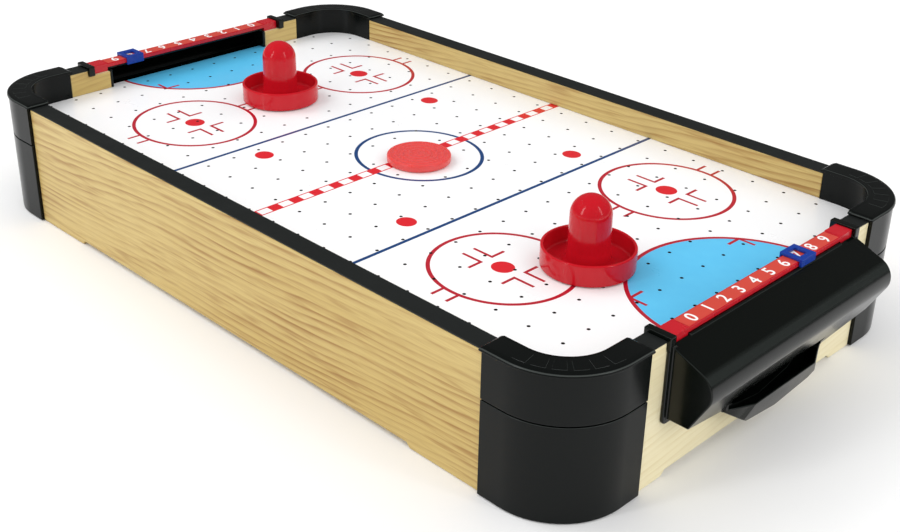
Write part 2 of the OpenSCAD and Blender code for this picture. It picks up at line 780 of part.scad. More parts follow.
module switch_rocker() {
    color("#b01c24") translate([switch_x, pivot_y, switch_z]) rotate([0, 0, -rocker_tilt]) union() {
        translate([0, 0, -rocker_w / 2]) linear_extrude(rocker_w) polygon([
            [-rocker_l / 2, 0.2], [-3, -2], [3, -2], [rocker_l / 2, 0.2],
            [rocker_l / 2, 5.2], [0, 3.9], [-rocker_l / 2, 5.2]
        ]);
        translate([0, 0, -rocker_w / 2 - 0.8]) cylinder(h = rocker_w + 1.6, r = 1, $fn = 32);
    }
}

module switch_terminals() {
    y = out_w - pocket_d - case_depth - 3;
    color("gold") for (s = [-1, 1]) translate([switch_x + s * 5, y, switch_z])
        cube([0.8, 6, 4.8], center = true);
}

wire_r = 0.8;
wire_sides = 8;
wire_z = board_z - 1.2;
terminal_y = out_w - pocket_d - case_depth - 6;
box_side_x = box_x0 - 14;

// Last stretch of a motor lead: down beside the flange, through the duct wall, along an arm to the tab
function motor_lead(s) = [
    for (p = [[fan_flange_r + 3, wire_z], [fan_flange_r + 3, lead_z + 3], [duct_r + 4, lead_z],
        [motor_r + tab_l + 0.1, lead_z]])
        [p[0] * cos(lead_a), s * p[0] * sin(lead_a), p[1]]
];

module wire_battery_switch() {
    color("red") wire([
        [box_x0 - gap, cell_y(4), lead_hole_z], [box_x0 - 9, cell_y(4), lead_hole_z],
        [box_side_x, cell_y(4), wire_z], [box_side_x, 50, wire_z], [100, 80, wire_z],
        [switch_x + 5, terminal_y - 14, wire_z], [switch_x + 5, terminal_y - 0.9, switch_z]
    ], wire_r);
}

module wire_switch_motor() {
    color("red") wire(concat([
        [switch_x - 5, terminal_y - 0.9, switch_z], [switch_x - 5, terminal_y - 10, wire_z],
        [switch_x - 5, terminal_y - 24, wire_z], [58, 64, wire_z]
    ], motor_lead(1)), wire_r);
}

module wire_battery_motor() {
    color("black") wire(concat([
        [box_x0 - gap, cell_y(1), lead_hole_z], [box_x0 - 9, cell_y(1), lead_hole_z],
        [box_side_x, cell_y(1), wire_z], [58, -38, wire_z]
    ], motor_lead(-1)), wire_r);
}

// ---------- fasteners ----------

module corner_screws() {
    color(STEEL) for (sx = [-1, 1], sy = [-1, 1]) at_corner(sx, sy) for (z = flange_screw_z) {
        translate([side_half - flange_reach / 2, in_w - flange_t, z]) rotate([-90, 0, 0]) screw(12);
        translate([in_l - flange_t, end_half - 5, z]) rotate([0, 90, 0]) screw(12);
    }
}

module cap_screws() {
    color(STEEL) for (sx = [-1, 1], sy = [-1, 1]) at_corner(sx, sy) for (p = boss_points)
        translate([p[0], p[1], base_boss_low]) screw(30);
}

module fan_screws() {
    color(STEEL) for (p = fan_screw_points) translate([p[0], p[1], board_z - 2.5]) screw(5);
}

module grille_screws() {
    color(STEEL) for (p = grille_screw_points) translate([p[0], p[1], grille_low]) screw(8);
}

module box_screws() {
    color(STEEL) for (p = box_screw_points) translate([p[0], p[1], board_z - 2.5]) screw(5);
}

// ---------- strikers and puck ----------

near_mallet_at = [160.5, -29];
far_mallet_at = [-143.5, 6];
puck_at = [-1, 2];
float_gap = 0.15;
felt_t = 1.2;
felt_r = 23.6;
cup_wall = 1.7;
floor_t = 2;

module mallet(at) {
    dome_z = mallet_h - knob_r;
    color(RED) translate([at[0], at[1], field_top]) difference() {
        union() {
            rotate_extrude($fn = 128) polygon([
                [knob_r - 1, felt_t + float_gap], [mallet_r - cup_wall, felt_t + float_gap],
                [mallet_r - cup_wall, float_gap + 0.4], [mallet_r - 0.5, float_gap + 0.4],
                [mallet_r, float_gap + 0.9], [mallet_r, mallet_rim_h - 0.4], [mallet_r - 0.4, mallet_rim_h],
                [mallet_r - cup_wall + 0.4, mallet_rim_h], [mallet_r - cup_wall, mallet_rim_h - 0.4],
                [mallet_r - cup_wall, felt_t + floor_t + 1], [mallet_r - cup_wall - 1, felt_t + floor_t],
                [knob_r + 1, felt_t + floor_t], [knob_r, felt_t + floor_t + 1],
                [knob_r - 1, felt_t + floor_t + 1]
            ]);
            translate([0, 0, felt_t + float_gap])
                cylinder(h = dome_z - felt_t - float_gap, r = knob_r, $fn = 96);
            translate([0, 0, dome_z]) sphere(knob_r, $fn = 96);
        }
        translate([0, 0, felt_t - 1]) cylinder(h = dome_z - felt_t + 1, r = knob_r - 1.8, $fn = 72);
        translate([0, 0, dome_z]) sphere(knob_r - 1.8, $fn = 72);
    }
}

module mallet_felt(at) {
    color("#d8d8d2") translate([at[0], at[1], field_top + float_gap]) difference() {
        cylinder(h = felt_t, r = felt_r, $fn = 96);
        translate([0, 0, -1]) cylinder(h = felt_t + 2, r = knob_r - 1.8, $fn = 72);
    }
}

// Thin disc with a raised rim and concentric ridges on both faces
module puck() {
    ridge = 0.4;
    half_t = puck_t / 2;
    color("#f05a5a") translate([puck_at[0], puck_at[1], field_top + float_gap + half_t]) difference() {
        rotate_extrude($fn = 128) polygon([
            [0, -half_t], [puck_r - 0.8, -half_t], [puck_r, -half_t + 0.8],
            [puck_r, half_t - 0.8], [puck_r - 0.8, half_t], [0, half_t]
        ]);
        for (s = [-1, 1], r = [4, 8, 12, 16]) translate([0, 0, s * half_t]) difference() {
            cylinder(h = 2 * ridge, r = r + 1.6, center = true, $fn = 96);
            cylinder(h = 4 * ridge, r = r, center = true, $fn = 96);
        }
    }
}

// ---------- assembly ----------

playfield();
front_panel();
back_panel();
at_end(1) end_panel();  // near_end_panel
at_end(-1) end_panel();  // far_end_panel
side_trim(-1);  // front_trim
side_trim(1);  // back_trim
at_end(1) end_trim();  // near_end_trim
at_end(-1) end_trim();  // far_end_trim
at_corner(1, -1) corner_cap();  // corner_cap_front_near
at_corner(1, 1) corner_cap();  // corner_cap_back_near
at_corner(-1, -1) corner_cap();  // corner_cap_front_far
at_corner(-1, 1) corner_cap();  // corner_cap_back_far
at_corner(1, -1) corner_base();  // corner_base_front_near
at_corner(1, 1) corner_base();  // corner_base_back_near
at_corner(-1, -1) corner_base();  // corner_base_front_far
at_corner(-1, 1) corner_base();  // corner_base_back_far
at_corner(1, -1) foot_pad();  // foot_pad_front_near
at_corner(1, 1) foot_pad();  // foot_pad_back_near
at_corner(-1, -1) foot_pad();  // foot_pad_front_far
at_corner(-1, 1) foot_pad();  // foot_pad_back_far
at_end(1) goal_catcher();  // near_goal_catcher
at_end(-1) goal_catcher();  // far_goal_catcher
at_end(1) score_rail();  // near_score_rail
at_end(-1) score_rail();  // far_score_rail
at_end(1) score_slider(near_score);  // near_score_slider
at_end(-1) score_slider(far_score);  // far_score_slider
cross_batten(1);  // near_cross_batten
cross_batten(-1);  // far_cross_batten
bottom_board();
fan_housing();
intake_grille();
fan_motor();
fan_shaft();
fan_impeller();
battery_box();
battery_door();
battery_cell(1);  // battery_cell_1
battery_cell(2);  // battery_cell_2
battery_cell(3);  // battery_cell_3
battery_cell(4);  // battery_cell_4
contact_plates();
contact_springs();
switch_body();
switch_rocker();
switch_terminals();
wire_battery_switch();
wire_switch_motor();
wire_battery_motor();
corner_screws();
cap_screws();
fan_screws();
grille_screws();
box_screws();
mallet(near_mallet_at);  // near_mallet
mallet_felt(near_mallet_at);  // near_mallet_felt
mallet(far_mallet_at);  // far_mallet
mallet_felt(far_mallet_at);  // far_mallet_felt
puck();
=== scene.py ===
"""Tabletop air hockey table: finishes, detailed pieces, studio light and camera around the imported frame.

Lengths are metres in the row frame unless a name ends in _MM. The near goal is at +X, the front side at -Y.
"""
import json
import math

import bmesh
import bpy
from mathutils import Matrix, Vector


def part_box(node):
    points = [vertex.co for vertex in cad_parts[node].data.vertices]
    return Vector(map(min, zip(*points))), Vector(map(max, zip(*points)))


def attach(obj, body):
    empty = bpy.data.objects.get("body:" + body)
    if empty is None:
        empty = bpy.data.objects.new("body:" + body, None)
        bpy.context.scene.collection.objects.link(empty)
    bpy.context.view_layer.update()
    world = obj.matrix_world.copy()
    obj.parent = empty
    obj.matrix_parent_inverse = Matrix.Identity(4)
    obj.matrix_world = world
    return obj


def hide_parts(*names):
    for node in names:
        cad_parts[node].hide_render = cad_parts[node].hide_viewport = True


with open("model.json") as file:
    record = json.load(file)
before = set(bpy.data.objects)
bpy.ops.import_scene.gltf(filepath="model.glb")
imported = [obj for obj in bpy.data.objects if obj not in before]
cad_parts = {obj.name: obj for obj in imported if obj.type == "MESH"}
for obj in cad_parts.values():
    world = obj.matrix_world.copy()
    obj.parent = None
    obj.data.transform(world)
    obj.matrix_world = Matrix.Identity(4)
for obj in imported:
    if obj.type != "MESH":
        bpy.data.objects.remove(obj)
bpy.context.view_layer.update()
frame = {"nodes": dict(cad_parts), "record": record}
nodes = frame["nodes"]

MM = 0.001
CORNERS = {"front_near": (1, -1), "back_near": (1, 1), "front_far": (-1, -1), "back_far": (-1, 1)}
TURNS = {"near": 0.0, "far": math.pi}


def srgb(red, green, blue):
    """Screen colour, 0 to 255, as the linear colour that a shader takes."""
    def channel(c):
        c = c / 255
        return c / 12.92 if c <= 0.04045 else ((c + 0.055) / 1.055) ** 2.4
    return (channel(red), channel(green), channel(blue), 1.0)


# ---------------------------------------------------------------- node graphs

class Graph:
    """One material's nodes. A value is a number, a colour or another node's socket."""

    def __init__(self, name):
        self.material = bpy.data.materials.new(name)
        self.material.use_nodes = True
        self.tree = self.material.node_tree
        self.shader = self.tree.nodes["Principled BSDF"]
        self.place = self.node("TexCoord").outputs["Object"]

    def node(self, kind, **settings):
        made = self.tree.nodes.new("ShaderNode" + kind)
        for key, value in settings.items():
            setattr(made, key, value)
        return made

    def put(self, socket, value):
        if isinstance(value, bpy.types.NodeSocket):
            self.tree.links.new(value, socket)
        else:
            socket.default_value = value

    def math(self, operation, *values, clamp=False):
        made = self.node("Math", operation=operation, use_clamp=clamp)
        for socket, value in zip(made.inputs, values):
            self.put(socket, value)
        return made.outputs[0]

    def mix(self, factor, first, second, blend="MIX"):
        made = self.node("Mix", data_type="RGBA", blend_type=blend)
        self.put(made.inputs[0], factor)
        self.put(made.inputs[6], first)
        self.put(made.inputs[7], second)
        return made.outputs[2]

    def stretched(self, scale, place=None):
        made = self.node("Mapping")
        self.put(made.inputs["Vector"], place or self.place)
        made.inputs["Scale"].default_value = scale
        return made.outputs[0]

    def noise(self, scale, detail=3.0, roughness=0.5, place=None, distortion=0.0):
        made = self.node("TexNoise")
        self.put(made.inputs["Vector"], place or self.place)
        made.inputs["Scale"].default_value = scale
        made.inputs["Detail"].default_value = detail
        made.inputs["Roughness"].default_value = roughness
        made.inputs["Distortion"].default_value = distortion
        return made.outputs["Fac"]

    def span(self, value, low, high, out_low=0.0, out_high=1.0):
        made = self.node("MapRange")
        for socket, given in zip(made.inputs, (value, low, high, out_low, out_high)):
            self.put(socket, given)
        return made.outputs[0]

    def ramp(self, value, *stops):
        made = self.node("ValToRGB")
        self.put(made.inputs[0], value)
        elements = made.color_ramp.elements
        while len(elements) < len(stops):
            elements.new(0.5)
        for element, (position, colour) in zip(elements, stops):
            element.position = position
            element.color = colour
        return made.outputs[0]

    def bump(self, height, depth, normal=None):
        made = self.node("Bump")
        made.inputs["Strength"].default_value = 1.0
        made.inputs["Distance"].default_value = depth
        self.put(made.inputs["Height"], height)
        if normal is not None:
            self.put(made.inputs["Normal"], normal)
        return made.outputs[0]

    def finish(self, colour, roughness, normal=None, **settings):
        """Connects the shader; settings set its own sockets, with _ for a space."""
        self.put(self.shader.inputs["Base Color"], colour)
        self.put(self.shader.inputs["Roughness"], roughness)
        if normal is not None:
            self.put(self.shader.inputs["Normal"], normal)
        for name, value in settings.items():
            self.put(self.shader.inputs[name.replace("_", " ")], value)
        return self.material


# Painted highlight on rounded edges: the normal's up share at its middle, and the band it fades over.
EDGE_HIGHLIGHT_RISE = 0.66
EDGE_HIGHLIGHT_BAND = (0.1, 0.24)
GLOSS_SPREAD = (0.82, 1.22)


def plastic(name, colour, roughness, grain=0.00001, mottle=0.12, waves=0.0, edge=None, **settings):
    """Moulded plastic: uneven shade and gloss, a fine moulding grain, and slow surface waves.

    edge is a painted highlight: a paler colour on the rounded edges, where the surface faces about half up.
    """
    g = Graph(name)
    cloud = g.noise(18.0, 4.0)
    fine = g.noise(2500.0, 2.0)
    dark = tuple(c * (1 - mottle) for c in colour[:3]) + (1.0,)
    light = tuple(min(1.0, c * (1 + mottle)) for c in colour[:3]) + (1.0,)
    shade = g.mix(cloud, dark, light)
    if edge:
        split = g.node("SeparateXYZ")
        g.put(split.inputs[0], g.node("TexCoord").outputs["Normal"])
        # painted highlight: the edge colour where the normal leans about two thirds up
        rise = g.math("ABSOLUTE", g.math("SUBTRACT", split.outputs[2], EDGE_HIGHLIGHT_RISE))
        shade = g.mix(g.span(rise, *EDGE_HIGHLIGHT_BAND, 1.0, 0.0), shade, edge)
    smudge = g.noise(45.0, 5.0, 0.6)
    smooth, rough = (min(1.0, roughness * share) for share in GLOSS_SPREAD)
    gloss = g.span(smudge, 0.3, 0.7, smooth, rough)
    normal = g.bump(fine, grain)
    if waves:
        normal = g.bump(g.noise(60.0, 2.0), waves, normal)
    return g.finish(shade, gloss, normal, **settings)


# ---------------------------------------------------------------- rink markings

# The print repeats in all four quarters. Its measures are from the middle of the field, or from the
# middle of a face-off spot for the ring, the angle marks and the hashes round it.
FIELD_SHIFT_MM = (-7.8, 8.6)
FIELD_SCALE = (0.969, 0.918)
EDGE_MM = 0.12
SPOT_X_MM, SPOT_Y_MM, SPOT_R_MM = 143.3, 78.0, 6.8
NEUTRAL_X_MM, NEUTRAL_R_MM = 66.8, 6.3
RING_R_MM = 42.0
ANGLE_X_MM, ANGLE_Y_MM = (11.4, 26.5), (3.6, 15.0)
HASH_X_MM, HASH_LENGTH_MM = 4.4, 9.8
CREASE_X_MM, CREASE_R_MM = 253.5, 67.5
CREASE_ARM_X_MM, CREASE_FOOT_X_MM, CREASE_FOOT_Y_MM = (212.0, 223.0), 211.0, (42.0, 54.0)
STROKE_MM = 1.25
BAR_MM = 2.0
BLUE_LINE_MM = 84.5
CHECK_STEP_MM = 8.25
CENTRE_LINE_HALF_MM = 3.4
BORDER_HALF_MM = 0.5
FIELD_TOP_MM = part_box("playfield")[1].z / MM
HOLE_DARK_MM = 0.06
HOLE_PITCH_MM = (21.9, 19.0)
HOLE_SHIFT_MM = (-5.0, 6.0)
# radius of the painted shade round each air hole
HOLE_SHADE_R_MM = 1.03
PRINT_WHITES = (srgb(250, 251, 253), srgb(255, 255, 255))
PRINT_ICE = (srgb(88, 196, 244), srgb(98, 204, 248))
PRINT_BLUE = srgb(0, 62, 122)
PRINT_STROKE_RED = srgb(188, 14, 40)
PRINT_SPOT_RED = srgb(222, 16, 34)
# grey of the painted shade round the air holes
HOLE_SHADE_GREY = srgb(70, 70, 72)
BOARD_CORE = (srgb(30, 28, 26), srgb(58, 50, 42))


class Marks:
    """Distances to the printed shapes and to the painted shade round the air holes, in millimetres, below
    zero inside a shape.
    """

    def __init__(self, g):
        self.g = g
        split = g.node("SeparateXYZ")
        g.put(split.inputs[0], g.place)
        x = g.math("MULTIPLY_ADD", split.outputs[0], 1 / MM, -FIELD_SHIFT_MM[0])
        y = g.math("MULTIPLY_ADD", split.outputs[1], 1 / MM, -FIELD_SHIFT_MM[1])
        self.y = g.math("DIVIDE", y, FIELD_SCALE[1])
        self.across = g.math("ABSOLUTE", g.math("DIVIDE", x, FIELD_SCALE[0]))
        self.depth = g.math("MULTIPLY_ADD", split.outputs[2], -1 / MM, FIELD_TOP_MM)
        self.aside = g.math("ABSOLUTE", self.y)
        hole_x = g.math("SUBTRACT", x, HOLE_SHIFT_MM[0] - FIELD_SHIFT_MM[0])
        hole_y = g.math("SUBTRACT", y, HOLE_SHIFT_MM[1] - FIELD_SHIFT_MM[1])
        cells = self.cell(hole_x, HOLE_PITCH_MM[0]), self.cell(hole_y, HOLE_PITCH_MM[1])
        # painted shade: a disc round the middle of each hole-grid cell, on the air holes
        self.rims = self.disc(*cells, HOLE_SHADE_R_MM)

    def cell(self, value, pitch):
        """Distance along one axis from the middle of the grid cell that the value is in."""
        share = self.g.math("FRACT", self.g.math("DIVIDE", value, pitch))
        return self.g.math("MULTIPLY_ADD", share, pitch, -pitch / 2)

    def off(self, value, centre):
        return self.g.math("ABSOLUTE", self.g.math("SUBTRACT", value, centre))

    def disc(self, u, v, radius):
        g = self.g
        squares = g.math("ADD", g.math("MULTIPLY", u, u), g.math("MULTIPLY", v, v))
        return g.math("SUBTRACT", g.math("SQRT", squares), radius)

    def outline(self, distance, half):
        return self.g.math("SUBTRACT", self.g.math("ABSOLUTE", distance), half)

    def bar(self, u, v, u0, u1, v0, v1):
        g = self.g
        along = g.math("SUBTRACT", self.off(u, (u0 + u1) / 2), (u1 - u0) / 2)
        over = g.math("SUBTRACT", self.off(v, (v0 + v1) / 2), (v1 - v0) / 2)
        return g.math("MAXIMUM", along, over)

    def joined(self, shapes):
        result = shapes[0]
        for shape in shapes[1:]:
            result = self.g.math("MINIMUM", result, shape)
        return result

    def mask(self, distance):
        return self.g.math("MULTIPLY_ADD", distance, -1 / EDGE_MM, 0.5, clamp=True)


def rink_print():
    g = Graph("rink_print")
    m = Marks(g)
    spot_u = m.off(m.across, SPOT_X_MM)
    spot_v = m.off(m.aside, SPOT_Y_MM)
    neutral = m.disc(m.off(m.across, NEUTRAL_X_MM), spot_v, NEUTRAL_R_MM)
    checks = g.math("SUBTRACT", CHECK_STEP_MM / 2, g.math("PINGPONG", m.y, CHECK_STEP_MM))
    centre_line = g.math("SUBTRACT", m.across, CENTRE_LINE_HALF_MM)
    squares = g.math("MAXIMUM", checks, centre_line)
    borders = m.outline(centre_line, BORDER_HALF_MM)
    crease = m.disc(m.off(m.across, CREASE_X_MM), m.aside, CREASE_R_MM)
    spots = m.joined([m.disc(spot_u, spot_v, SPOT_R_MM), neutral, squares, borders])
    strokes = m.joined([
        m.outline(m.disc(spot_u, spot_v, RING_R_MM), STROKE_MM),
        m.outline(crease, STROKE_MM),
        m.bar(spot_u, spot_v, *ANGLE_X_MM, ANGLE_Y_MM[0], ANGLE_Y_MM[0] + BAR_MM),
        m.bar(spot_u, spot_v, ANGLE_X_MM[0], ANGLE_X_MM[0] + BAR_MM, *ANGLE_Y_MM),
        m.bar(spot_u, spot_v, HASH_X_MM, HASH_X_MM + BAR_MM, RING_R_MM, RING_R_MM + HASH_LENGTH_MM),
        m.bar(m.across, m.aside, *CREASE_ARM_X_MM, CREASE_FOOT_Y_MM[1] - BAR_MM, CREASE_FOOT_Y_MM[1]),
        m.bar(m.across, m.aside, CREASE_FOOT_X_MM, CREASE_FOOT_X_MM + BAR_MM, *CREASE_FOOT_Y_MM),
    ])
    blue = m.joined([
        m.outline(m.disc(m.across, m.aside, RING_R_MM), STROKE_MM),
        m.outline(g.math("SUBTRACT", m.across, BLUE_LINE_MM), STROKE_MM),
    ])
    sheen = g.noise(9.0, 4.0)
    white = g.mix(sheen, *PRINT_WHITES)
    ice = g.mix(g.noise(140.0, 4.0), *PRINT_ICE)
    colour = g.mix(m.mask(crease), white, ice)
    colour = g.mix(m.mask(blue), colour, PRINT_BLUE)
    colour = g.mix(m.mask(strokes), colour, PRINT_STROKE_RED)
    colour = g.mix(m.mask(spots), colour, PRINT_SPOT_RED)
    # painted shade round the air holes
    colour = g.mix(m.mask(m.rims), colour, HOLE_SHADE_GREY)
    core = g.mix(g.noise(300.0, 4.0), *BOARD_CORE)
    colour = g.mix(g.span(m.depth, 0.0, HOLE_DARK_MM), colour, core)
    roughness = g.span(g.noise(34.0, 5.0, 0.6), 0.3, 0.7, 0.27, 0.34)
    normal = g.bump(g.noise(900.0, 2.0), 0.000006)
    return g.finish(colour, roughness, normal, Coat_Weight=0.25, Coat_Roughness=0.15)


# ---------------------------------------------------------------- other finishes

GRAIN_SIDE_SHARE = 0.4
RING_MM, RING_TILT, RING_RUN = 4.0, 0.8, -0.075


def wood_foil(name, along, tones, contrast=1.0, seed=0.0, inside=None):
    """Printed flat-sawn grain. along is the axis the grain runs on; rings repeat up the height.

    tones are light, mid and dark; inside has those of the face towards the rink, where they differ.
    """
    g = Graph(name)
    shift = g.node("Mapping")
    g.put(shift.inputs["Vector"], g.place)
    shift.inputs["Location"].default_value = (seed, seed * 0.7, seed * 0.3)
    place = shift.outputs[0]

    def grain(length, height, detail=2.0, roughness=0.5):
        side = height * GRAIN_SIDE_SHARE
        scale = (length, side, height) if along == "X" else (side, length, height)
        return g.noise(1.0, detail, roughness, g.stretched(scale, place))

    split = g.node("SeparateXYZ")
    g.put(split.inputs[0], place)
    run, depth = split.outputs[0:2] if along == "X" else reversed(split.outputs[0:2])
    light, mid, dark = tones
    if inside:
        across = g.node("SeparateXYZ")
        g.put(across.inputs[0], g.place)
        outer = g.span(g.math("ABSOLUTE", across.outputs[0]), INNER_FACE_X, INNER_FACE_X + MM)
        light, mid, dark = (g.mix(outer, face, tone) for face, tone in zip(inside, tones))
    height = g.math("MULTIPLY_ADD", depth, RING_TILT, split.outputs[2])
    height = g.math("MULTIPLY_ADD", run, RING_RUN, height)
    rings = g.math("MULTIPLY_ADD", height, 1 / MM / RING_MM, g.math("MULTIPLY", grain(2.4, 8.0), 9.0))
    rings = g.math("MULTIPLY_ADD", grain(4.6, 100.0), 1.7, rings)
    rings = g.math("MULTIPLY_ADD", grain(36.0, 110.0), 0.24, rings)
    saw = g.math("FRACT", rings)
    late = g.math("MULTIPLY", g.math("POWER", saw, 2.4), g.span(saw, 0.84, 1.0, 1.55, 0.0))
    broad = g.span(grain(5.0, 26.0), 0.36, 0.6, 0.3 * contrast, 1.0 * contrast)
    short = g.span(grain(14.0, 130.0), 0.36, 0.6, 0.35, 1.0)
    late = g.math("MULTIPLY", late, g.math("MULTIPLY", broad, short))
    fibre = grain(30.0, 1500.0, 3.0, 0.6)
    pores = g.span(grain(55.0, 2600.0, 1.0), 0.6, 0.72, 0.0, 0.3 * contrast)
    tone = g.mix(g.span(grain(2.0, 14.0), 0.3, 0.7), light, mid)
    colour = g.mix(late, tone, dark)
    streaks = g.span(grain(24.0, 330.0, 2.0), 0.56, 0.72, 0.0, 0.5 * contrast)
    colour = g.mix(streaks, colour, dark)
    colour = g.mix(g.span(fibre, 0.42, 0.72, 0.0, 0.25 * contrast), colour, dark)
    colour = g.mix(pores, colour, dark)
    roughness = g.span(fibre, 0.2, 0.8, 0.36, 0.5)
    normal = g.bump(fibre, 0.00002)
    return g.finish(colour, roughness, normal)


METAL_GRAIN = (400.0, 400.0, 4000.0)


def metal(name, colour, roughness):
    """Plated or ground metal with fine directional marks."""
    g = Graph(name)
    marks = g.noise(1.0, 3.0, 0.6, g.stretched(METAL_GRAIN))
    shade = g.mix(g.noise(120.0, 4.0), tuple(c * 0.86 for c in colour[:3]) + (1.0,), colour)
    gloss = g.span(marks, 0.25, 0.75, roughness * 0.75, roughness * 1.3)
    return g.finish(shade, gloss, g.bump(marks, 0.000004), Metallic=1.0)


def hardboard():
    g = Graph("hardboard")
    chips = g.noise(420.0, 6.0, 0.7)
    hairs = g.noise(1.0, 4.0, 0.7, g.stretched((300.0, 1400.0, 300.0)))
    colour = g.ramp(chips, (0.25, srgb(92, 64, 40)), (0.5, srgb(128, 92, 60)), (0.8, srgb(158, 120, 82)))
    colour = g.mix(g.span(hairs, 0.5, 0.75, 0.0, 0.35), colour, srgb(176, 142, 104))
    return g.finish(colour, g.span(chips, 0.2, 0.8, 0.6, 0.85), g.bump(chips, 0.00005))


def felt():
    g = Graph("felt")
    tufts = g.noise(1500.0, 6.0, 0.75)
    strands = g.noise(420.0, 5.0, 0.7, distortion=2.5)
    colour = g.ramp(tufts, (0.25, srgb(176, 174, 168)), (0.7, srgb(222, 221, 216)))
    normal = g.bump(strands, 0.00012, g.bump(tufts, 0.00006))
    return g.finish(colour, 0.95, normal, Sheen_Weight=0.5, Sheen_Roughness=0.5)


def cell_sleeve():
    """Battery sleeve: black with a copper-coloured band at the plus end and a bare steel base."""
    g = Graph("cell_sleeve")
    split = g.node("SeparateXYZ")
    g.put(split.inputs[0], g.place)
    low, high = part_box("battery_cell_1")
    share = g.span(split.outputs[0], low[0], high[0])
    colour = g.ramp(share, (0.0, srgb(188, 186, 180)), (0.03, srgb(30, 30, 32)), (0.62, srgb(30, 30, 32)),
                    (0.64, srgb(196, 138, 62)), (0.95, srgb(200, 142, 66)), (0.97, srgb(200, 198, 192)))
    colour = g.mix(g.noise(90.0, 4.0), colour, g.mix(0.25, colour, srgb(20, 18, 16)))
    return g.finish(colour, g.span(g.noise(200.0, 4.0), 0.3, 0.7, 0.2, 0.34),
                    g.bump(g.noise(700.0, 2.0), 0.000008), Metallic=0.35)


INNER_FACE_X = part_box("near_end_panel")[0].x
PINE = (srgb(211, 188, 124), srgb(199, 172, 100), srgb(150, 105, 43))
CREAM = (srgb(242, 233, 200), srgb(236, 224, 182), srgb(214, 194, 136))

finishes = {
    "field_laminate": rink_print(),
    "wood_grain_board": wood_foil("pine_foil", "X", PINE),
    "edge_trim": plastic("edge_trim", srgb(30, 33, 32), 0.45, Specular_IOR_Level=0.3),
    # corner_plastic and catcher_plastic carry a painted highlight on their rounded edges, given as edge
    "corner_plastic": plastic("corner_plastic", srgb(11, 14, 13), 0.22, waves=0.00003,
                              edge=srgb(64, 68, 66), Specular_IOR_Level=0.16),
    "pad_rubber": plastic("pad_rubber", srgb(34, 34, 34), 0.8, grain=0.00003),
    "catcher_plastic": plastic("catcher_plastic", srgb(5, 9, 6), 0.2, grain=0.000004, waves=0.00006,
                               edge=srgb(34, 38, 36), Specular_IOR_Level=0.3),
    "rail_plastic": plastic("rail_plastic", srgb(192, 18, 34), 0.26),
    "slider_plastic": plastic("slider_plastic", srgb(2, 52, 148), 0.26),
    "hardboard": hardboard(),
    "housing_plastic": plastic("housing_plastic", srgb(32, 34, 34), 0.5, grain=0.00003),
    "motor_steel": metal("motor_steel", srgb(186, 188, 192), 0.32),
    "shaft_steel": metal("shaft_steel", srgb(206, 208, 212), 0.2),
    "impeller_plastic": plastic("impeller_plastic", srgb(226, 226, 218), 0.4, Subsurface_Weight=0.15),
    "cell_wrap": cell_sleeve(),
    "contact_metal": metal("contact_metal", srgb(210, 208, 200), 0.25),
    "rocker_plastic": plastic("rocker_plastic", srgb(178, 22, 30), 0.25),
    "terminal_brass": metal("terminal_brass", srgb(208, 178, 112), 0.28),
    "wire_red": plastic("wire_red", srgb(188, 24, 26), 0.4),
    "wire_black": plastic("wire_black", srgb(26, 26, 26), 0.42),
    "screw_steel": metal("screw_steel", srgb(188, 190, 194), 0.3),
    "mallet_plastic": plastic("mallet_plastic", srgb(196, 20, 34), 0.15, grain=0.000003, mottle=0.05,
                              waves=0.00002, Specular_IOR_Level=0.35, Subsurface_Weight=0.08,
                              Subsurface_Scale=0.004),
    "felt": felt(),
    "puck_plastic": plastic("puck_plastic", srgb(224, 78, 76), 0.28, mottle=0.06, Subsurface_Weight=0.45,
                            Subsurface_Scale=0.004),
}
pine_back = wood_foil("pine_foil_back", "X", PINE, seed=1.7)
cream = wood_foil("cream_foil", "Y", CREAM, contrast=0.5, seed=0.4, inside=PINE)
special = {"back_panel": pine_back, "near_end_panel": cream, "far_end_panel": cream}
slots = {row["node"]: row["material_slot"] for row in frame["record"]["subparts"]}

for node_name, item in nodes.items():
    item.data.materials.clear()
    item.data.materials.append(special.get(node_name, finishes[slots[node_name]]))

# ---------------------------------------------------------------- piece helpers

bodies = frame["record"]["behaviour"]["bodies"]
body_of = {member: body for body, members in bodies.items() for member in members}


def add_piece(name, mesh, node_name, hides=True, finish=None):
    """Puts a mesh, drawn in the row frame, on a CAD node's body with that node's slot and finish."""
    slot = slots[node_name]
    mesh.materials.clear()
    mesh.materials.append(finish or special.get(node_name, finishes[slot]))
    made = bpy.data.objects.new(name, mesh)
    bpy.context.scene.collection.objects.link(made)
    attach(made, body_of[node_name])
    if hides:
        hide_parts(node_name)
    return made


def mesh_from(bm, name, crease=50.0):
    bmesh.ops.recalc_face_normals(bm, faces=bm.faces)
    for face in bm.faces:
        face.smooth = True
    mesh = bpy.data.meshes.new(name)
    bm.to_mesh(mesh)
    bm.free()
    mesh.set_sharp_from_angle(angle=math.radians(crease))
    return mesh


def weighted(made):
    made.modifiers.new("face_weighted", "WEIGHTED_NORMAL").keep_sharp = True
    return made


MERGE_MM = 0.002
FLAT_DEGREES = 0.6
SHARP_DEGREES = 40.0


def softened(node_name, width_mm, segments=3):
    """A CAD node's shape with its sharp edges rounded, shown instead of the node."""
    bm = bmesh.new()
    bm.from_mesh(nodes[node_name].data)
    bmesh.ops.remove_doubles(bm, verts=bm.verts, dist=MERGE_MM * MM)
    bmesh.ops.dissolve_limit(bm, angle_limit=math.radians(FLAT_DEGREES), verts=bm.verts, edges=bm.edges)
    least = math.radians(SHARP_DEGREES)
    sharp = [e for e in bm.edges if len(e.link_faces) == 2 and e.calc_face_angle(0.0) > least]
    bmesh.ops.bevel(bm, geom=sharp, offset=width_mm * MM, offset_type="OFFSET", segments=segments,
                    profile=0.5, affect="EDGES", clamp_overlap=False)
    return weighted(add_piece(node_name + "_shape", mesh_from(bm, node_name + "_shape"), node_name))


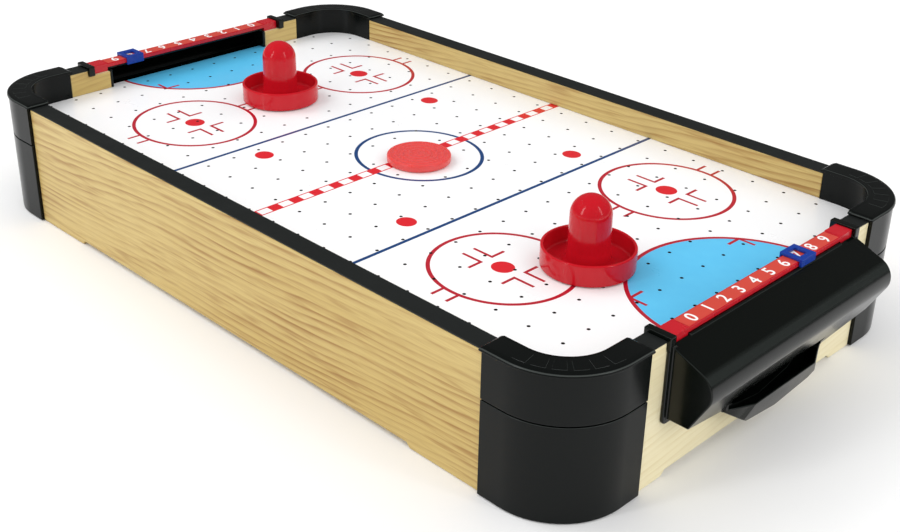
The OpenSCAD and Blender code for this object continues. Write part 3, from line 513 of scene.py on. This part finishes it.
def rounded_outline(points, steps):
    """Outline through (u, v, radius) corners with each corner replaced by an arc; open at both ends."""
    result = [Vector(points[0][:2])]
    for before, here, after in zip(points, points[1:], points[2:]):
        corner = Vector(here[:2])
        to_before = (Vector(before[:2]) - corner).normalized()
        to_after = (Vector(after[:2]) - corner).normalized()
        turn = to_before.angle(to_after)
        radius = here[2]
        if radius <= 0 or turn > math.radians(178):
            result.append(corner)
            continue
        reach = radius / math.tan(turn / 2)
        centre = corner + (to_before + to_after).normalized() * radius / math.sin(turn / 2)
        start, end = corner + to_before * reach - centre, corner + to_after * reach - centre
        sweep = start.angle_signed(end)
        for step in range(steps + 1):
            angle = -sweep * step / steps
            result.append(centre + Vector((start.x * math.cos(angle) - start.y * math.sin(angle),
                                           start.x * math.sin(angle) + start.y * math.cos(angle))))
    result.append(Vector(points[-1][:2]))
    return result


LATHE_STEPS = 144


def lathed(name, outline, centre):
    """Mesh turned about a vertical axis through centre; the outline is (radius, z) in millimetres."""
    bm = bmesh.new()
    rings = []
    for radius, height in outline:
        if radius < 1e-6:
            rings.append([bm.verts.new((centre[0], centre[1], height * MM))])
            continue
        ring = []
        for k in range(LATHE_STEPS):
            angle = 2 * math.pi * k / LATHE_STEPS
            ring.append(bm.verts.new((centre[0] + radius * MM * math.cos(angle),
                                      centre[1] + radius * MM * math.sin(angle), height * MM)))
        rings.append(ring)
    for lower, upper in zip(rings, rings[1:]):
        for k in range(LATHE_STEPS):
            n = (k + 1) % LATHE_STEPS
            below = [lower[k % len(lower)], lower[n % len(lower)]]
            above = [upper[n % len(upper)], upper[k % len(upper)]]
            bm.faces.new(list(dict.fromkeys(below + above)))
    return mesh_from(bm, name, 60.0)


def middle(node_name):
    low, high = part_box(node_name)
    return (low + high) / 2


# ---------------------------------------------------------------- strikers and puck

KNOB_R_MM, KNOB_WALL_MM = 11.3, 1.8
CUP_WALL_MM, CUP_FLOOR_MM, CUP_RIM_MM, CUP_RECESS_MM = 1.7, 2.8, 12.1, 0.8
FLARE_MM = 8.0


def quarter_circle(radius, centre_z, steps):
    """(r, z) points from the side of a dome to its top."""
    angles = (math.radians(90 * k / steps) for k in range(steps + 1))
    return [(radius * math.cos(a), centre_z + radius * math.sin(a)) for a in angles]


def striker(end):
    """Cup with a rolled rim and a knob that flares into the floor; hollow below, like the CAD shape."""
    node_name = end + "_mallet"
    low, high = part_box(node_name)
    low_z, high_z, outer = low.z / MM, high.z / MM, (high.x - low.x) / 2 / MM
    inner, recess_z = outer - CUP_WALL_MM, low_z + CUP_RECESS_MM
    floor_z, rim_z = low_z + CUP_FLOOR_MM, low_z + CUP_RIM_MM
    dome_z = high_z - KNOB_R_MM
    dome = quarter_circle(KNOB_R_MM, dome_z, 24)
    hollow_r = KNOB_R_MM - KNOB_WALL_MM
    hollow = quarter_circle(hollow_r, dome_z, 12)[::-1]
    shell = rounded_outline([
        (hollow_r, recess_z, 0), (inner, recess_z, 0), (inner, low_z, 0.1), (outer, low_z, 0.8),
        (outer, rim_z, 0.75), (inner, rim_z, 0.75), (inner - 0.3, floor_z, 1.6),
        (KNOB_R_MM + 1.0, floor_z, 3.0), (KNOB_R_MM + 0.15, floor_z + FLARE_MM, 12.0),
        (KNOB_R_MM, dome_z, 0)], 6)
    outline = [(0.0, hollow[0][1])] + hollow[1:] + [tuple(p) for p in shell] + dome[1:-1] + [(0.0, high_z)]
    add_piece(node_name + "_shape", lathed(node_name + "_shape", outline, middle(node_name)), node_name)
    softened(node_name + "_felt", 0.3, 2)


PUCK_GROOVES_MM = (4.0, 8.0, 12.0, 16.0)
PUCK_RIDGE_MM = 3.6


def puck():
    """Disc with a rounded edge and concentric ridges on both faces."""
    low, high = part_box("puck")
    centre_z, half, radius = (low.z + high.z) / 2 / MM, (high.z - low.z) / 2 / MM, (high.x - low.x) / 2 / MM
    top = [(0.0, half - 0.1, 0), (PUCK_RIDGE_MM, half - 0.1, 0.3)]
    for groove in PUCK_GROOVES_MM:
        top += [(groove, half - 0.4, 0.3), (groove + 1.6, half - 0.4, 0.3), (groove + 2.0, half, 0.35)]
        if groove < PUCK_GROOVES_MM[-1]:
            top.append((groove + PUCK_RIDGE_MM, half, 0.35))
    top += [(radius, half, 1.3), (radius, 0.0, 0)]
    outline = [tuple(p) for p in rounded_outline(top, 4)]
    under = [(r, -z) for r, z in reversed(outline[:-1])]
    whole = [(r, centre_z + z) for r, z in outline + under]
    add_piece("puck_shape", lathed("puck_shape", whole, middle("puck")), "puck")


striker("near")
striker("far")
puck()

# ---------------------------------------------------------------- corner caps

PAD_COUNT = 6
PAD_GAP_DEGREES = 1.6
PAD_RADII_MM = (28.6, 37.2)
CORNER_R_MM = 40.0
WALL_MIDDLE_MM = 33.0
CAP_WALL_HALF_MM, CAP_PLATE_HALF_MM = 7.0, 7.8
CAP_PLATE_MM = 2.4
CAP_ARM_MM = 14.0
ARM_STEPS, ARC_STEPS, PAD_STEPS, CORNER_STEPS = 6, 28, 6, 4
PAD_SLOPE_MM = 0.35
PAD_SINK_MM, PAD_DROP_MM = 0.5, 0.02


def corner_stations(reach_mm):
    """(point, outward) along the (+X, +Y) corner's middle line: straight arm, arc, straight arm."""
    low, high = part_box("corner_base_back_near")
    radius = WALL_MIDDLE_MM
    centre = Vector((high.x / MM - CORNER_R_MM, high.y / MM - CORNER_R_MM))
    stations = []
    for step in range(ARM_STEPS):
        stations.append((centre + Vector((radius, -reach_mm * (1 - step / ARM_STEPS))), Vector((1, 0))))
    for step in range(ARC_STEPS + 1):
        angle = math.pi / 2 * step / ARC_STEPS
        out = Vector((math.cos(angle), math.sin(angle)))
        stations.append((centre + out * radius, out))
    for step in range(1, ARM_STEPS + 1):
        stations.append((centre + Vector((-reach_mm * step / ARM_STEPS, radius)), Vector((0, 1))))
    return stations


def swept(bm, stations, sections, signs):
    """Closed solid through (u, z) sections, one at each station, mirrored into a corner by signs."""
    rings = []
    for (point, out), section in zip(stations, sections):
        ring = []
        for u, z in section:
            at = point + out * u
            ring.append(bm.verts.new((signs[0] * at.x * MM, signs[1] * at.y * MM, z * MM)))
        rings.append(ring)
    count = len(rings[0])
    for ring, after in zip(rings, rings[1:]):
        for k in range(count):
            n = (k + 1) % count
            bm.faces.new((ring[k], ring[n], after[n], after[k]))
    bm.faces.new(rings[0])
    bm.faces.new(rings[-1])


def closed_outline(corners):
    """Closed (u, z) outline with every corner rounded by its own radius."""
    looped = [((corners[-1][0] + corners[0][0]) / 2, (corners[-1][1] + corners[0][1]) / 2, 0)] + corners
    looped.append(looped[0])
    return [tuple(p) for p in rounded_outline(looped, CORNER_STEPS)[:-1]]


def cap_pad(bm, signs, centre, radii, angles, low, high):
    """Raised pad on the cap's arc, between two radii and two angles in degrees, with sloping sides."""
    loops = []
    for inset, z in ((0.0, low), (PAD_SLOPE_MM, high)):
        r0, r1 = radii[0] + inset, radii[1] - inset
        turn = math.degrees(inset / (sum(radii) / 2))
        a0, a1 = angles[0] + turn, angles[1] - turn
        ring = [(r0, a0 + (a1 - a0) * k / PAD_STEPS) for k in range(PAD_STEPS + 1)]
        ring += [(r1, a1 + (a0 - a1) * k / PAD_STEPS) for k in range(PAD_STEPS + 1)]
        loops.append([bm.verts.new((signs[0] * (centre.x + r * math.cos(math.radians(a))) * MM,
                                    signs[1] * (centre.y + r * math.sin(math.radians(a))) * MM, z * MM))
                      for r, a in ring])
    count = len(loops[0])
    for k in range(count):
        n = (k + 1) % count
        bm.faces.new((loops[0][k], loops[0][n], loops[1][n], loops[1][k]))
    bm.faces.new(loops[0])
    bm.faces.new(loops[1])


def corner_cap(corner):
    """Cap moulding: wall below, crowned plate with a rounded edge, sloping ends and raised pads on top."""
    signs = CORNERS[corner]
    node_name = "corner_cap_" + corner
    low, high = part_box(node_name)
    low_z, top_z = low.z / MM, high.z / MM
    plate_z, ridge_z = top_z - CAP_PLATE_MM, top_z - 0.12
    arm, half, wide = CAP_ARM_MM, CAP_WALL_HALF_MM, CAP_PLATE_HALF_MM
    bm = bmesh.new()
    wall = closed_outline([(-half, low_z, 0.5), (half, low_z, 0.9), (half, plate_z + 0.1, 0.05),
                           (-half, plate_z + 0.1, 0.05)])
    stations = corner_stations(arm - 0.25)
    swept(bm, stations, [wall] * len(stations), signs)
    plate = closed_outline([
        (-wide, plate_z, 0.3), (wide, plate_z, 0.3), (wide, top_z - 0.5, 1.5), (4.5, ridge_z, 4.0),
        (-5.0, ridge_z, 3.0), (-6.0, ridge_z, 0.4), (-6.3, top_z, 0.3), (-wide, top_z, 0.7)])

    def squeezed(share, narrow):
        return [(u * (1 - narrow / wide), plate_z + (z - plate_z) * share) for u, z in plate]

    stations = corner_stations(arm + 1.6)
    ends = [squeezed(0.3, 0.8), squeezed(0.62, 0.15), squeezed(0.97, 0.0)]
    place = [arm + 1.6, arm + 1.2, arm - 0.6]
    centre = stations[ARM_STEPS][0] - stations[ARM_STEPS][1] * WALL_MIDDLE_MM
    first = [(centre + Vector((WALL_MIDDLE_MM, -reach)), Vector((1, 0))) for reach in place]
    last = [(centre + Vector((-reach, WALL_MIDDLE_MM)), Vector((0, 1))) for reach in reversed(place)]
    arc = stations[ARM_STEPS:-ARM_STEPS]
    swept(bm, first + arc + last, ends + [plate] * len(arc) + ends[::-1], signs)
    step = 90 / PAD_COUNT
    for k in range(PAD_COUNT):
        angles = (k * step + PAD_GAP_DEGREES, (k + 1) * step - PAD_GAP_DEGREES)
        cap_pad(bm, signs, centre, PAD_RADII_MM, angles, top_z - PAD_SINK_MM, top_z - PAD_DROP_MM)
    weighted(add_piece(node_name + "_shape", mesh_from(bm, node_name + "_shape", 40.0), node_name))


for corner_name in CORNERS:
    corner_cap(corner_name)
    softened("corner_base_" + corner_name, 0.45)
    softened("foot_pad_" + corner_name, 0.4, 2)

# ---------------------------------------------------------------- panels, catchers, rails, underside

for node_name, width_mm in {
    "front_panel": 0.6, "back_panel": 0.6, "near_end_panel": 0.6, "far_end_panel": 0.6,
    "front_trim": 0.35, "back_trim": 0.35, "near_end_trim": 0.35, "far_end_trim": 0.35,
    "near_goal_catcher": 0.7, "far_goal_catcher": 0.7, "near_score_rail": 0.4, "far_score_rail": 0.4,
    "near_score_slider": 0.35, "far_score_slider": 0.35, "fan_housing": 0.4, "intake_grille": 0.3,
    "battery_box": 0.4, "battery_door": 0.3, "switch_body": 0.3, "switch_rocker": 0.4,
}.items():
    softened(node_name, width_mm)


def digit_mesh(digit, size):
    """Flat solid digit from Blender's own font, centred on the origin."""
    curve = bpy.data.curves.new("digit", "FONT")
    curve.body = str(digit)
    curve.size = size
    curve.extrude = DIGIT_DEPTH
    curve.offset = DIGIT_WEIGHT
    curve.align_x = "CENTER"
    holder = bpy.data.objects.new("digit", curve)
    bpy.context.scene.collection.objects.link(holder)
    bpy.context.view_layer.update()
    mesh = bpy.data.meshes.new_from_object(holder.evaluated_get(bpy.context.evaluated_depsgraph_get()))
    bpy.data.objects.remove(holder)
    bpy.data.curves.remove(curve)
    ys = [v.co.y for v in mesh.vertices]
    mesh.transform(Matrix.Translation((0, -(min(ys) + max(ys)) / 2, 0)))
    return mesh


digit_white = plastic("digit_white", srgb(250, 250, 250), 0.3)
strip_orange = plastic("strip_orange", srgb(206, 68, 54), 0.3)
RAIL_LOW, RAIL_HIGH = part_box("near_score_rail")
STRIP_X = (RAIL_LOW.x + RAIL_HIGH.x) / 2
STRIP_WIDTH = RAIL_HIGH.x - RAIL_LOW.x
STRIP_TOP = RAIL_HIGH.z - 0.5 * MM
DIGIT_PITCH = 13.2 * MM
DIGIT_SIZE = 10.0 * MM
DIGIT_DEPTH = 0.05 * MM
DIGIT_WEIGHT = 0.12 * MM
DIGIT_LIFT = 0.1 * MM
DIGIT_COUNT = 10
LABEL_SIZE = (STRIP_WIDTH - 1.4 * MM, 134 * MM, 0.08 * MM)
LABEL_ROUND = 0.02 * MM
LABEL_LIFT = 0.03 * MM

for end, turn in TURNS.items():
    rail = end + "_score_rail"
    spin = Matrix.Rotation(turn, 4, "Z")
    label = bmesh.new()
    bmesh.ops.create_cube(label, size=1.0)
    bmesh.ops.scale(label, vec=LABEL_SIZE, verts=label.verts)
    bmesh.ops.bevel(label, geom=list(label.edges), offset=LABEL_ROUND, segments=2, affect="EDGES")
    bmesh.ops.translate(label, vec=(STRIP_X, 0, STRIP_TOP + LABEL_LIFT), verts=label.verts)
    bmesh.ops.transform(label, matrix=spin, verts=label.verts)
    add_piece(end + "_rail_label", mesh_from(label, end + "_rail_label"), rail, hides=False,
              finish=strip_orange)
    figures = bmesh.new()
    for digit in range(DIGIT_COUNT):
        mesh = digit_mesh(digit, DIGIT_SIZE)
        across = (digit - (DIGIT_COUNT - 1) / 2) * DIGIT_PITCH
        place = Matrix.Translation((STRIP_X, across, STRIP_TOP + DIGIT_LIFT))
        mesh.transform(spin @ place @ Matrix.Rotation(math.pi / 2, 4, "Z"))
        figures.from_mesh(mesh)
        bpy.data.meshes.remove(mesh)
    add_piece(end + "_rail_digits", mesh_from(figures, end + "_rail_digits", 30.0), rail, hides=False,
              finish=digit_white)

# ---------------------------------------------------------------- floor, light, camera

FLOOR_HALF = 6.0
floor_mesh = bpy.data.meshes.new("floor")
floor_corners = [(x * FLOOR_HALF, y * FLOOR_HALF, 0) for x, y in ((-1, -1), (1, -1), (1, 1), (-1, 1))]
floor_mesh.from_pydata(floor_corners, [], [(0, 1, 2, 3)])
floor = bpy.data.objects.new("floor", floor_mesh)
bpy.context.scene.collection.objects.link(floor)
floor_look = Graph("floor_look")
floor_mesh.materials.append(floor_look.finish(srgb(252, 252, 252), 0.9))


def studio_world():
    """White surroundings; shiny surfaces see a dimmer room than the one that lights them."""
    world = bpy.data.worlds.new("studio")
    world.use_nodes = True
    tree = world.node_tree
    background = tree.nodes["Background"]
    background.inputs["Color"].default_value = (1.0, 1.0, 1.0, 1.0)
    path = tree.nodes.new("ShaderNodeLightPath")
    dim = tree.nodes.new("ShaderNodeMapRange")
    dim.inputs["To Min"].default_value = ROOM_LIGHT
    dim.inputs["To Max"].default_value = ROOM_SEEN_BY_GLOSS
    tree.links.new(path.outputs["Is Glossy Ray"], dim.inputs["Value"])
    tree.links.new(dim.outputs[0], background.inputs["Strength"])
    bpy.context.scene.world = world


ROOM_LIGHT = 0.76
ROOM_SEEN_BY_GLOSS = 0.14
studio_world()
bpy.context.scene.view_settings.view_transform = "Standard"


def softbox(name, place, target, size, power, glossy=False):
    """Area light; only the glint lights show in shiny surfaces."""
    light = bpy.data.lights.new(name, "AREA")
    light.shape = "RECTANGLE"
    light.size, light.size_y = size
    light.energy = power
    lamp = bpy.data.objects.new(name, light)
    bpy.context.scene.collection.objects.link(lamp)
    lamp.location = place
    lamp.rotation_euler = (Vector(target) - Vector(place)).to_track_quat("-Z", "Y").to_euler()
    lamp.visible_glossy = glossy


TABLE_MIDDLE = (0, 0, 0.05)
softbox("key", (-1.2, -0.6, 1.3), (-0.1, 0, 0.05), (1.2, 0.9), 11)
softbox("fill", (1.5, -0.4, 0.8), TABLE_MIDDLE, (0.9, 0.9), 4)
softbox("rim", (0.3, 1.4, 0.9), TABLE_MIDDLE, (1.6, 0.5), 5)
softbox("glint_left", (-0.19, -1.28, 0.8), TABLE_MIDDLE, (0.16, 1.1), 4, glossy=True)
softbox("glint_right", (1.29, 0.14, 0.8), TABLE_MIDDLE, (0.12, 1.1), 2.2, glossy=True)

CAMERA_AZIMUTH, CAMERA_ELEVATION, CAMERA_ROLL = (math.radians(a) for a in (43.87, 26.36, 1.44))
CAMERA_DISTANCE = 0.860
LOOK_AT = Vector((-0.0001, 0.0439, 0.0))
LENS_MM, SENSOR_MM = 51.84, 36.0
LENS_SHIFT = (-0.01667, -0.04)


def aimed_camera():
    """Camera at the reference view, aimed by azimuth, elevation and roll."""
    a, e, r = CAMERA_AZIMUTH, CAMERA_ELEVATION, CAMERA_ROLL
    back = Vector((math.sin(a) * math.cos(e), -math.cos(a) * math.cos(e), math.sin(e)))
    right = Vector((math.cos(a), math.sin(a), 0.0))
    up = back.cross(right)
    side = right * math.cos(r) + up * math.sin(r)
    top = up * math.cos(r) - right * math.sin(r)
    data = bpy.data.cameras.new("camera")
    data.lens = LENS_MM
    data.sensor_width = SENSOR_MM
    data.shift_x, data.shift_y = LENS_SHIFT
    data.clip_start = 0.01
    camera = bpy.data.objects.new("camera", data)
    turn = Matrix((side, top, back)).transposed().to_4x4()
    camera.matrix_world = Matrix.Translation(LOOK_AT + back * CAMERA_DISTANCE) @ turn
    bpy.context.scene.collection.objects.link(camera)
    bpy.context.scene.camera = camera


aimed_camera()
